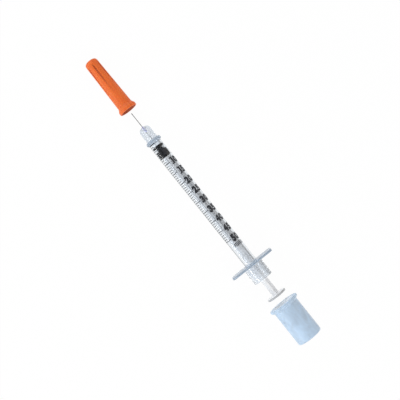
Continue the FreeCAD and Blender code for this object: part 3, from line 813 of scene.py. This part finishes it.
# White for the camera, in mirrored rays and through clear pieces. For the last, strength falls in a straight
# line from 1 in front of the syringe to 1 - loss beyond it, which gives its clear parts a grey side.
def stageFinish(name):
    material = bpy.data.materials.new(name)
    material.use_nodes = True
    nodes, links = material.node_tree.nodes, material.node_tree.links
    shader = nodes["Principled BSDF"]
    shader.inputs["Base Color"].default_value = (stage["grey"], stage["grey"], stage["grey"], 1)
    shader.inputs["Roughness"].default_value = stage["roughness"]
    path = nodes.new("ShaderNodeLightPath")
    seen = mathNode(nodes, "MAXIMUM")
    shown = mathNode(nodes, "MAXIMUM")
    place = nodes.new("ShaderNodeTexCoord")
    parts = nodes.new("ShaderNodeSeparateXYZ")
    fall = rampNode(nodes, stage["lossFrom"], stage["lossTo"], 0, -stage["loss"])
    dimmed = mathNode(nodes, "MULTIPLY_ADD")
    dimmed.inputs[2].default_value = 1
    share = mathNode(nodes, "MULTIPLY")
    share.inputs[1].default_value = stage["whiteShare"]
    white = nodes.new("ShaderNodeEmission")
    mixed = nodes.new("ShaderNodeMixShader")
    links.new(place.outputs["Object"], parts.inputs["Vector"])
    links.new(parts.outputs["Y"], fall.inputs["Value"])
    links.new(fall.outputs["Result"], dimmed.inputs[0])
    links.new(path.outputs["Is Transmission Ray"], dimmed.inputs[1])
    links.new(dimmed.outputs[0], white.inputs["Strength"])
    links.new(path.outputs["Is Camera Ray"], seen.inputs[0])
    links.new(path.outputs["Is Glossy Ray"], seen.inputs[1])
    links.new(seen.outputs[0], shown.inputs[0])
    links.new(path.outputs["Is Transmission Ray"], shown.inputs[1])
    links.new(shown.outputs[0], share.inputs[0])
    links.new(share.outputs[0], mixed.inputs["Fac"])
    links.new(shader.outputs["BSDF"], mixed.inputs[1])
    links.new(white.outputs["Emission"], mixed.inputs[2])
    links.new(mixed.outputs["Shader"], nodes["Material Output"].inputs["Surface"])
    return material


reach = stage["halfWidth"]
tableMesh = bpy.data.meshes.new("table")
tableMesh.from_pydata([(-reach, -reach, 0), (reach, -reach, 0), (reach, reach, 0), (-reach, reach, 0)], [],
                      [(0, 1, 2, 3)])
table = bpy.data.objects.new("table", tableMesh)
bpy.context.scene.collection.objects.link(table)
tableMesh.materials.append(stageFinish("tableTop"))

# Each lamp: degrees from straight above, the way it leans seen from above (-90 is minus y), distance, length,
# width, watts. Nothing stands straight above, so the round pieces keep dark tops.
lamps = {
    "keyLamp": (64, -90, 0.6, 0.42, 0.07, 0.75),
    "needleLamp": (48, 180, 0.7, 0.4, 0.4, 1.2),
    "capLamp": (48, 0, 0.7, 0.4, 0.4, 1.2),
}
for name, (degrees, bearing, distance, length, width, watts) in lamps.items():
    light = bpy.data.lights.new(name, "AREA")
    light.shape = "RECTANGLE"
    light.size, light.size_y = length, width
    light.energy = watts
    lamp = bpy.data.objects.new(name, light)
    lean, turn = math.radians(degrees), math.radians(bearing)
    lamp.location = (distance * math.sin(lean) * math.cos(turn), distance * math.sin(lean) * math.sin(turn),
                     distance * math.cos(lean))
    lamp.rotation_euler = (lean, 0, turn + math.pi / 2)
    bpy.context.scene.collection.objects.link(lamp)

world = bpy.data.worlds.new("studio")
world.use_nodes = True
bpy.context.scene.world = world
nodes, links = world.node_tree.nodes, world.node_tree.links
nodes.clear()
path = nodes.new("ShaderNodeLightPath")
soft = nodes.new("ShaderNodeBackground")
tint = nodes.new("ShaderNodeMix")  # cooler from minus y than from plus y
tint.data_type = "RGBA"
tint.inputs[6].default_value = (0.94, 0.98, 1, 1)
tint.inputs[7].default_value = (1, 0.95, 0.9, 1)
direction = nodes.new("ShaderNodeTexCoord")
parts = nodes.new("ShaderNodeSeparateXYZ")
side = rampNode(nodes, -1, 1, 1.02, 0.72)  # brighter from minus y than from plus y
height = rampNode(nodes, 0.65, 0.95, 1, 0.2)  # and dim straight above
share = rampNode(nodes, -1, 1, 0, 1)
strength = mathNode(nodes, "MULTIPLY")
links.new(direction.outputs["Generated"], parts.inputs["Vector"])
links.new(parts.outputs["Y"], side.inputs["Value"])
links.new(parts.outputs["Y"], share.inputs["Value"])
links.new(parts.outputs["Z"], height.inputs["Value"])
links.new(share.outputs["Result"], tint.inputs["Factor"])
links.new(tint.outputs[2], soft.inputs["Color"])
links.new(side.outputs["Result"], strength.inputs[0])
links.new(height.outputs["Result"], strength.inputs[1])
links.new(strength.outputs[0], soft.inputs["Strength"])
white = nodes.new("ShaderNodeBackground")
white.inputs["Color"].default_value = (1, 1, 1, 1)
mixed = nodes.new("ShaderNodeMixShader")
output = nodes.new("ShaderNodeOutputWorld")
links.new(path.outputs["Is Camera Ray"], mixed.inputs["Fac"])
links.new(soft.outputs["Background"], mixed.inputs[1])
links.new(white.outputs["Background"], mixed.inputs[2])
links.new(mixed.outputs["Shader"], output.inputs["Surface"])

view = {"x": 0.64, "y": -0.22, "height": 365.5, "turnDegrees": 51.353, "lens": 75.4}
cameraData = bpy.data.cameras.new("camera")
cameraData.lens = view["lens"]
cameraData.sensor_width = 36
cameraData.clip_start, cameraData.clip_end = 0.01, 20
camera = bpy.data.objects.new("camera", cameraData)
camera.location = [view[name] * millimetre for name in ("x", "y", "height")]
camera.rotation_euler = (0, 0, math.radians(view["turnDegrees"]))
bpy.context.scene.collection.objects.link(camera)
bpy.context.scene.camera = camera
bpy.context.scene.view_settings.view_transform = "Standard"
print("table, lamps and camera placed")
